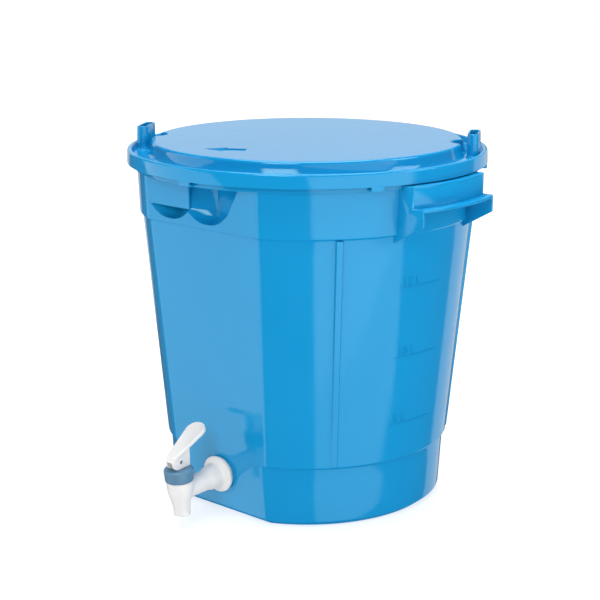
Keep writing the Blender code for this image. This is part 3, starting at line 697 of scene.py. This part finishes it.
def lidProfile():
    # radius, height, how far the point follows a scallop, fillet
    top, channel = lid["top"], lid["channel"]
    skirt = lidHigh.x
    corners = [
        (149.0 * mm, top, 1, 0),
        (153.6 * mm, top, 1, 2.6 * mm),
        (154.6 * mm, top - 7 * mm, 1, 3 * mm),
        (156.8 * mm, channel + 0.6 * mm, 1, 3 * mm),
        (160.5 * mm, channel, 0.25, 1.5 * mm),
        (171.2 * mm, channel, 0, 1.2 * mm),
        (173.6 * mm, channel + 6.0 * mm, 0, 1.1 * mm),
        (skirt - 0.3 * mm, channel + 6.0 * mm, 0, 2.6 * mm),
        (skirt, channel - 7.5 * mm, 0, 0.7 * mm),
        (skirt - 2.4 * mm, channel - 7.5 * mm, 0, 0.7 * mm),
        (skirt - 2.4 * mm, channel + 3.2 * mm, 0, 1.0 * mm),
        (175.2 * mm, channel + 2.6 * mm, 0, 0.5 * mm),
        (173.2 * mm, channel - 2.2 * mm, 0, 0.8 * mm),
        (159.0 * mm, channel - 2.2 * mm, 0.25, 1.2 * mm),
        (154.4 * mm, channel - 1.0 * mm, 1, 1.5 * mm),
        (152.2 * mm, top - 7 * mm, 1, 2.0 * mm),
        (151.4 * mm, top - 2.2 * mm, 1, 2.0 * mm),
        (147.0 * mm, top - 2.2 * mm, 1, 0),
    ]
    return roundedPath(corners, 6)


def lidAngles():
    marks = []
    for k in range(240):
        marks.append(math.tau * k / 240)
    for degrees in lid["pegAngles"]:
        for k in range(-46, 47):
            marks.append((math.radians(degrees + k * 0.18)) % math.tau)
    marks = sorted(marks)
    kept = [marks[0]]
    for angle in marks[1:]:
        if angle - kept[-1] > 0.0015:
            kept.append(angle)
    return kept


def scallopPull(angle):
    # how far the side of the raised disc steps in beside a peg
    centre, radius = lid["scallopCentre"], lid["scallopRadius"]
    deepest = 0.0
    for degrees in lid["pegAngles"]:
        away = (angle - math.radians(degrees) + math.pi) % math.tau - math.pi
        sideways = centre * math.sin(away)
        if abs(away) > 0.3 or abs(sideways) >= radius:
            continue
        near = centre * math.cos(away) - math.sqrt(radius ** 2 - sideways ** 2)
        pull = 154.4 * mm - near
        deepest = max(deepest, -softMin(-pull, 0.0, 1.6 * mm))
    return max(0.0, deepest)


def makeLid():
    angles = lidAngles()
    rings = []
    for radius, height, follow in lidProfile():
        rings.append([compass(radius - scallopPull(a) * follow, a, height) for a in angles])
    made = skin("lidShell", rings)
    arrow = arrowCutter()
    boolean(made, arrow, "DIFFERENCE")
    made.data.shade_smooth()
    made.data.set_sharp_from_angle(angle=math.radians(32))
    dress(made, bluePlastic, "lid")
    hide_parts("lid")
    print("lid:", len(made.data.polygons), "faces")


def arrowCutter():
    heading = math.radians(lid["pegAngles"][1])
    forward = Vector((math.sin(heading), -math.cos(heading), 0))
    sideways = Vector((-forward.y, forward.x, 0))
    centre = compass(110 * mm, math.radians(-3), 0)
    outline = ((-20, -6.5), (0, -6.5), (0, -12.5), (21, 0), (0, 12.5), (0, 6.5), (-20, 6.5))
    rings = []
    for height, grow in ((lid["top"] - 1.6 * mm, 0.97), (lid["top"] + 1 * mm, 1.02)):
        rings.append([centre + (forward * u + sideways * v) * mm * grow + Vector((0, 0, height))
                      for u, v in outline])
    return skin("arrow", rings)


def stadiumRing(halfLength, halfWidth, place, height, steps=16):
    ring = []
    reach = halfLength - halfWidth
    for end in (1, -1):
        for i in range(steps + 1):
            angle = -math.pi / 2 + math.pi * i / steps
            u = end * (reach + halfWidth * math.cos(angle))
            v = end * halfWidth * math.sin(angle)
            ring.append(place(u, v, height))
    return ring


def makePegs():
    top = lidHigh.z
    low = lid["channel"]
    pegs = []
    for degrees in lid["pegAngles"]:
        angle = math.radians(degrees)
        outward = Vector((math.sin(angle), -math.cos(angle), 0))
        along = Vector((math.cos(angle), math.sin(angle), 0))

        def place(u, v, z):
            return outward * (lid["pegRadius"] + v) + along * u + Vector((0, 0, z))

        wall = lid["pegWall"]
        path = roundedPath([
            (0.0, low - 1.0 * mm, 0), (1.6 * mm, low - 1.0 * mm, 0), (0.0, low + 1.6 * mm, 1.2 * mm),
            (-0.5 * mm, top, 0.7 * mm), (-0.5 * mm - wall, top, 0.7 * mm),
            (-wall, low + 2.0 * mm, 1.5 * mm), (-wall - 1.5 * mm, low + 2.0 * mm, 0),
        ])
        rings = []
        for grow, height in path:
            ring = stadiumRing(lid["pegHalfLength"] + grow, lid["pegHalfWidth"] + grow, place, height)
            rings.append(ring)
        pegs.append(skin("peg", rings))
    made = joinPieces("lidPegs", pegs)
    dress(made, bluePlastic, "lid")


makeLid()
makePegs()
print("lid made")


def makeTapBody():
    t = tap
    face = t["flangeFace"]
    axis = (0, 0, t["height"])
    out = (0, -1, 0)
    thread = [(100 * mm, 8.9 * mm)]
    for k in range(7):
        start = 101 * mm + k * 2.4 * mm
        thread += [(start, 9.1 * mm), (start + 0.9 * mm, t["shankRadius"]),
                   (start + 1.5 * mm, t["shankRadius"]), (start + 2.3 * mm, 9.1 * mm)]
    profile = thread + [(118.5 * mm, t["shankRadius"])]
    flange = roundedPath([
        (face, t["shankRadius"], 0), (face, 18.2 * mm, 0.8 * mm), (face + 3.2 * mm, 18.2 * mm, 1.2 * mm),
        (face + 4.6 * mm, 15.0 * mm, 1.5 * mm), (face + 6.0 * mm, 12.4 * mm, 2.0 * mm),
        (face + 16 * mm, 11.5 * mm, 3.0 * mm), (face + 20 * mm, 10.1 * mm, 2.5 * mm),
        (valveOut - 14 * mm, 9.3 * mm, 1.0 * mm), (valveOut - 6 * mm, 9.2 * mm, 0),
    ])
    shank = lathe("tapShank", profile + flange, axis, out, 96)
    shoulder = t["bonnetLow"] - 0.4 * mm
    chamber = lathe("tapChamber", roundedPath([
        (t["spoutEnd"], 8.0 * mm, 0), (21 * mm, 8.4 * mm, 3 * mm), (27 * mm, 9.8 * mm, 3 * mm),
        (34 * mm, 11.9 * mm, 4 * mm), (40 * mm, 12.7 * mm, 2 * mm), (shoulder, 12.9 * mm, 0.5 * mm),
        (shoulder, 12.0 * mm, 0), (t["chamberTop"], 11.9 * mm, 0),
    ]), (0, -valveOut, 0), (0, 0, 1), 96)
    boolean(shank, chamber, "UNION")
    shankBore = lathe("shankBore", [(90 * mm, 6.4 * mm), (valveOut - 4 * mm, 6.4 * mm)], axis, out, 64)
    boolean(shank, shankBore, "DIFFERENCE")
    bore = [(0, 6.3 * mm), (28.9 * mm, 6.2 * mm), (29.3 * mm, 7.6 * mm),
            (33 * mm, 9.4 * mm), (62 * mm, 9.4 * mm)]
    boolean(shank, lathe("valveBore", bore, (0, -valveOut, 0), (0, 0, 1), 58), "DIFFERENCE")
    shank.name = "tapBody"
    moulded(shank, t["voxel"], 5)
    leanTap(shank)
    dress(shank, whitePlastic, "bucket")
    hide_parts("tap_body")
    print("tap body:", len(shank.data.polygons), "faces")


makeTapBody()


def makeBonnet():
    low, high = tap["bonnetLow"], tap["bonnetHigh"]
    profile = roundedPath([
        (low, 12.4 * mm, 0.3 * mm), (high - 1.4 * mm, 12.4 * mm, 0.3 * mm),
        (high - 1.4 * mm, 3.6 * mm, 0.2 * mm), (high, 3.6 * mm, 0.4 * mm), (high, 13.4 * mm, 0.8 * mm),
        (high - 1.4 * mm, 14.5 * mm, 1.0 * mm), (low + 0.8 * mm, 13.9 * mm, 0.5 * mm),
        (low, 13.6 * mm, 0.3 * mm),
    ])
    made = lathe("bonnetRing", profile, (0, -valveOut, 0), (0, 0, 1), 128, loop=True)
    leanTap(made)
    dress(made, slatePlastic, "bucket")
    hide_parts("tap_bonnet")


makeBonnet()

lever = {
    "clearance": 6.5 * mm,
    "liftPerRadian": 3.8 * mm,
    "turn": math.radians(60),
    "halfWidth": 5.0 * mm,
    "tipRadius": 10.8 * mm,
    "bladeStart": (10.0 * mm, 6.4 * mm),
    "bladeEnd": (-34.0 * mm, 28.5 * mm),
    "voxel": 0.32 * mm,
}


def makeLever():
    h = lever

    def place(u, v, w):
        # u is away from the tub, v is up, w is across
        return Vector((w, pivot.y - u, pivot.z + v))

    heel = []
    for i in range(13):
        turn = h["turn"] * i / 12
        reach = h["clearance"] + h["liftPerRadian"] * turn
        heel.append((reach * math.sin(turn) + h["liftPerRadian"] * math.cos(turn),
                     -reach * math.cos(turn) + h["liftPerRadian"] * math.sin(turn)))
    outline = [(-11 * mm, -h["clearance"])] + heel
    outline += [(11.5 * mm, 1.5 * mm), h["bladeStart"], (-11 * mm, 16.2 * mm), (-12 * mm, 12 * mm)]
    sides = (-h["halfWidth"], h["halfWidth"])
    cheeks = skin("tapLever", [[place(u, v, w) for u, v in outline] for w in sides])
    start, end = Vector(h["bladeStart"]), Vector(h["bladeEnd"])
    length = (end - start).length
    along = (end - start).normalized()
    normal = Vector((-along.y, along.x)) if along.x > 0 else Vector((along.y, -along.x))
    tip = h["tipRadius"]
    rings = []
    stations = 44
    for k in range(stations + 1):
        s = length * k / stations
        width = h["halfWidth"] + 0.1 * mm
        width += (tip - width) * min(1.0, s / (length - tip))
        if s > length - tip:
            width = math.sqrt(max(tip ** 2 - (s - length + tip) ** 2, (0.4 * mm) ** 2))
        ring = []
        for i in range(17):
            across = -1 + i / 8
            dish = 0.7 * mm * softStep(12 * mm, 26 * mm, s) * (1 - across ** 2)
            ring.append((across * width, 0.4 * mm - dish))
        ring += [(x, -3.0 * mm) for x, y in reversed(ring)]
        rings.append([place(*(start + along * s + normal * y), x) for x, y in ring])
    blade = skin("blade", rings)
    boolean(cheeks, blade, "UNION")
    slot = ((-4.2, -9), (16, -9), (16, 0.5), (8, 3.1), (-4.2, 4.2))
    slotCut = skin("slot", [[place(u * mm, v * mm, w) for u, v in slot] for w in (-3.3 * mm, 3.3 * mm)])
    boolean(cheeks, slotCut, "DIFFERENCE")
    hole = lathe("pinHole", [(-8 * mm, 1.7 * mm), (8 * mm, 1.7 * mm)], pivot, (1, 0, 0), 32)
    boolean(cheeks, hole, "DIFFERENCE")
    moulded(cheeks, h["voxel"], 4)
    leanTap(cheeks)
    dress(cheeks, whitePlastic, "lever")
    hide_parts("tap_lever")
    print("lever:", len(cheeks.data.polygons), "faces")


makeLever()

carried = {
    "lid_seal": sealRubber,
    "outer_washer": sealRubber,
    "inner_washer": darkRubber,
    "seat_cup": sealRubber,
    "valve_stem": whitePlastic,
    "lever_pin": pinSteel,
    "back_nut": whitePlastic,
}
for node, look in carried.items():
    piece = frame["nodes"][node]
    piece.data.materials.clear()
    piece.data.materials.append(look)
print("tap made")


marks = {
    "angle": math.radians(74.0),       # left end of the marks, counted from the tap
    "litres": (("15", 235 * mm), ("10", 166 * mm), ("5", 98 * mm)),
    "lineLength": 55 * mm,
    "lineHeight": 1.0 * mm,
    "digitHeight": 8.5 * mm,
    "proud": 0.5 * mm,
}


def wallRadius(height):
    return interpolate(((tub["stepHeight"], tub["stepRadius"]),
                        (tub["collarHeight"] - 1.4 * mm, tub["collarRadius"] - 3 * mm)), height)


def wrapOnWall(piece, startAngle, startHeight, lift):
    # bends flat lettering round the tub: x runs round the wall and y runs up it
    for vertex in piece.data.vertices:
        u, v, w = vertex.co
        height = startHeight + v
        radius = wallRadius(height)
        vertex.co = compass(radius + lift + w, startAngle + u / radius, height)


def makeMarks():
    pieces = []
    for label, height in marks["litres"]:
        text = bpy.data.curves.new("digits", "FONT")
        text.body = label + " L"
        text.size = marks["digitHeight"] / 0.7
        text.extrude = marks["proud"]
        text.resolution_u = 4
        holder = bpy.data.objects.new("digits", text)
        bpy.context.scene.collection.objects.link(holder)
        graph = bpy.context.evaluated_depsgraph_get()
        mesh = bpy.data.meshes.new_from_object(holder.evaluated_get(graph))
        bpy.data.objects.remove(holder)
        digits = bpy.data.objects.new("digits", mesh)
        bpy.context.scene.collection.objects.link(digits)
        wrapOnWall(digits, marks["angle"] + math.radians(1.5), height + 2.5 * mm, 0)
        pieces.append(digits)
        steps = 24
        rings = []
        for k in range(steps + 1):
            u = marks["lineLength"] * k / steps
            rings.append([Vector((u, v, w)) for v, w in (
                (0, -marks["proud"]), (marks["lineHeight"], -marks["proud"]),
                (marks["lineHeight"], marks["proud"]), (0, marks["proud"]))])
        line = skin("line", rings)
        wrapOnWall(line, marks["angle"], height, 0)
        pieces.append(line)
    made = joinPieces("litreMarks", pieces)
    dress(made, bluePlastic, "bucket")


makeMarks()
print("litre marks made")


view = {
    "azimuth": math.radians(41.9),
    "pitch": math.radians(14.07),
    "distance": 1536.8 * mm,
    "aboveLid": 219.3 * mm,
    "sideways": -7.1 * mm,
    "lens": 93.54,
}
forward = Vector((-math.sin(view["azimuth"]), math.cos(view["azimuth"]), 0))
rightward = Vector((math.cos(view["azimuth"]), math.sin(view["azimuth"]), 0))


def makeCamera():
    data = bpy.data.cameras.new("viewCamera")
    data.sensor_width = 36
    data.lens = view["lens"]
    camera = bpy.data.objects.new("viewCamera", data)
    bpy.context.scene.collection.objects.link(camera)
    camera.location = -forward * view["distance"] + rightward * view["sideways"]
    camera.location.z = lid["top"] + view["aboveLid"]
    camera.rotation_euler = (math.pi / 2 - view["pitch"], 0, view["azimuth"])
    data.clip_end = 50
    bpy.context.scene.camera = camera


makeCamera()


def makeFloor():
    bpy.ops.mesh.primitive_plane_add(size=9.0, location=(0, 0, -0.0002))
    floor = bpy.context.object
    floor.name = "studioFloor"
    made, tree, shader = newMaterial("paleFloor")
    tree.links.new(noiseInto(tree, 2.0, 2, 0.14, 0.18), shader.inputs["Roughness"])
    shader.inputs["Base Color"].default_value = (0.4, 0.4, 0.4, 1)
    shader.inputs["Emission Color"].default_value = (0.98, 0.99, 1.0, 1)
    # the glow grows away from the tub, so the far floor is as pale as the sheet behind it
    place = tree.nodes.new("ShaderNodeTexCoord")
    scaled = tree.nodes.new("ShaderNodeMapping")
    scaled.inputs["Scale"].default_value = (0.7, 0.7, 0.7)
    nearness = tree.nodes.new("ShaderNodeTexGradient")
    nearness.gradient_type = "SPHERICAL"
    glow = tree.nodes.new("ShaderNodeMapRange")
    glow.inputs["To Min"].default_value = 1.0
    glow.inputs["To Max"].default_value = 0.66
    tree.links.new(place.outputs["Object"], scaled.inputs["Vector"])
    tree.links.new(scaled.outputs["Vector"], nearness.inputs["Vector"])
    tree.links.new(nearness.outputs["Fac"], glow.inputs["Value"])
    tree.links.new(glow.outputs["Result"], shader.inputs["Emission Strength"])
    shader.inputs["Specular IOR Level"].default_value = 0.35
    floor.data.materials.append(made)
    floor.visible_glossy = False  # the walls reflect the softboxes right down to the foot


def makeBackdrop():
    # a plain white sheet behind everything, seen only directly
    bpy.ops.mesh.primitive_plane_add(size=12.0)
    sheet = bpy.context.object
    sheet.name = "studioBackdrop"
    sheet.location = forward * 4.2 + Vector((0, 0, 6))
    sheet.rotation_euler = (math.pi / 2, 0, view["azimuth"])
    made = bpy.data.materials.new("whiteSheet")
    made.use_nodes = True
    tree = made.node_tree
    tree.nodes.remove(tree.nodes["Principled BSDF"])
    glow = tree.nodes.new("ShaderNodeEmission")
    glow.inputs["Color"].default_value = (1, 1, 1, 1)
    glow.inputs["Strength"].default_value = 1.0
    tree.links.new(glow.outputs["Emission"], tree.nodes["Material Output"].inputs["Surface"])
    sheet.data.materials.append(made)
    sheet.visible_glossy = False
    sheet.visible_diffuse = False
    sheet.visible_shadow = False


makeFloor()
makeBackdrop()


def softbox(name, angleFromCamera, halfAngle, low, high, glow, distance=3.0):
    # an upright panel facing the tub; glow is its brightness
    angle = view["azimuth"] + math.radians(angleFromCamera)
    width = 2 * distance * math.tan(math.radians(halfAngle))
    height = high - low
    data = bpy.data.lights.new(name, "AREA")
    data.shape = "RECTANGLE"
    data.size = width
    data.size_y = height
    data.energy = glow * math.pi * width * height
    lamp = bpy.data.objects.new(name, data)
    bpy.context.scene.collection.objects.link(lamp)
    lamp.location = compass(distance, angle, (low + high) / 2)
    towards = -lamp.location.copy()
    towards.z = 0
    lamp.rotation_euler = towards.to_track_quat("-Z", "Z").to_euler()
    lamp.visible_camera = False


softbox("rightPanel", 34, 31, -2.2, 1.6, 1.25)
softbox("rightPanelCore", 36, 16, -2.2, 1.6, 0.7, 2.9)
softbox("leftPanel", -86, 24, -2.2, 1.6, 1.5)
softbox("edgePanel", 142, 17, -2.4, 1.0, 0.68)
softbox("backPanel", 180, 38, 0.55, 2.6, 0.6)


def fillLight(name, angleFromCamera, distance, height, size, power):
    data = bpy.data.lights.new(name, "AREA")
    data.size = size
    data.energy = power
    lamp = bpy.data.objects.new(name, data)
    bpy.context.scene.collection.objects.link(lamp)
    angle = view["azimuth"] + math.radians(angleFromCamera)
    lamp.location = compass(distance, angle, height)
    aim = Vector((0, 0, 0.15)) - lamp.location
    lamp.rotation_euler = aim.to_track_quat("-Z", "Y").to_euler()
    lamp.visible_camera = False


fillLight("frontFill", -20, 2.2, 1.5, 1.0, 22)
fillLight("rightFill", 75, 2.2, 1.5, 1.0, 16)
fillLight("topFill", 0, 0.05, 2.6, 2.2, 80)

world = bpy.data.worlds.new("studioWorld")
world.use_nodes = True
background = world.node_tree.nodes["Background"]
background.inputs["Color"].default_value = (0.9, 0.95, 1.0, 1)
background.inputs["Strength"].default_value = 0.12
bpy.context.scene.world = world
bpy.context.scene.view_settings.view_transform = "Standard"
print("stage set")
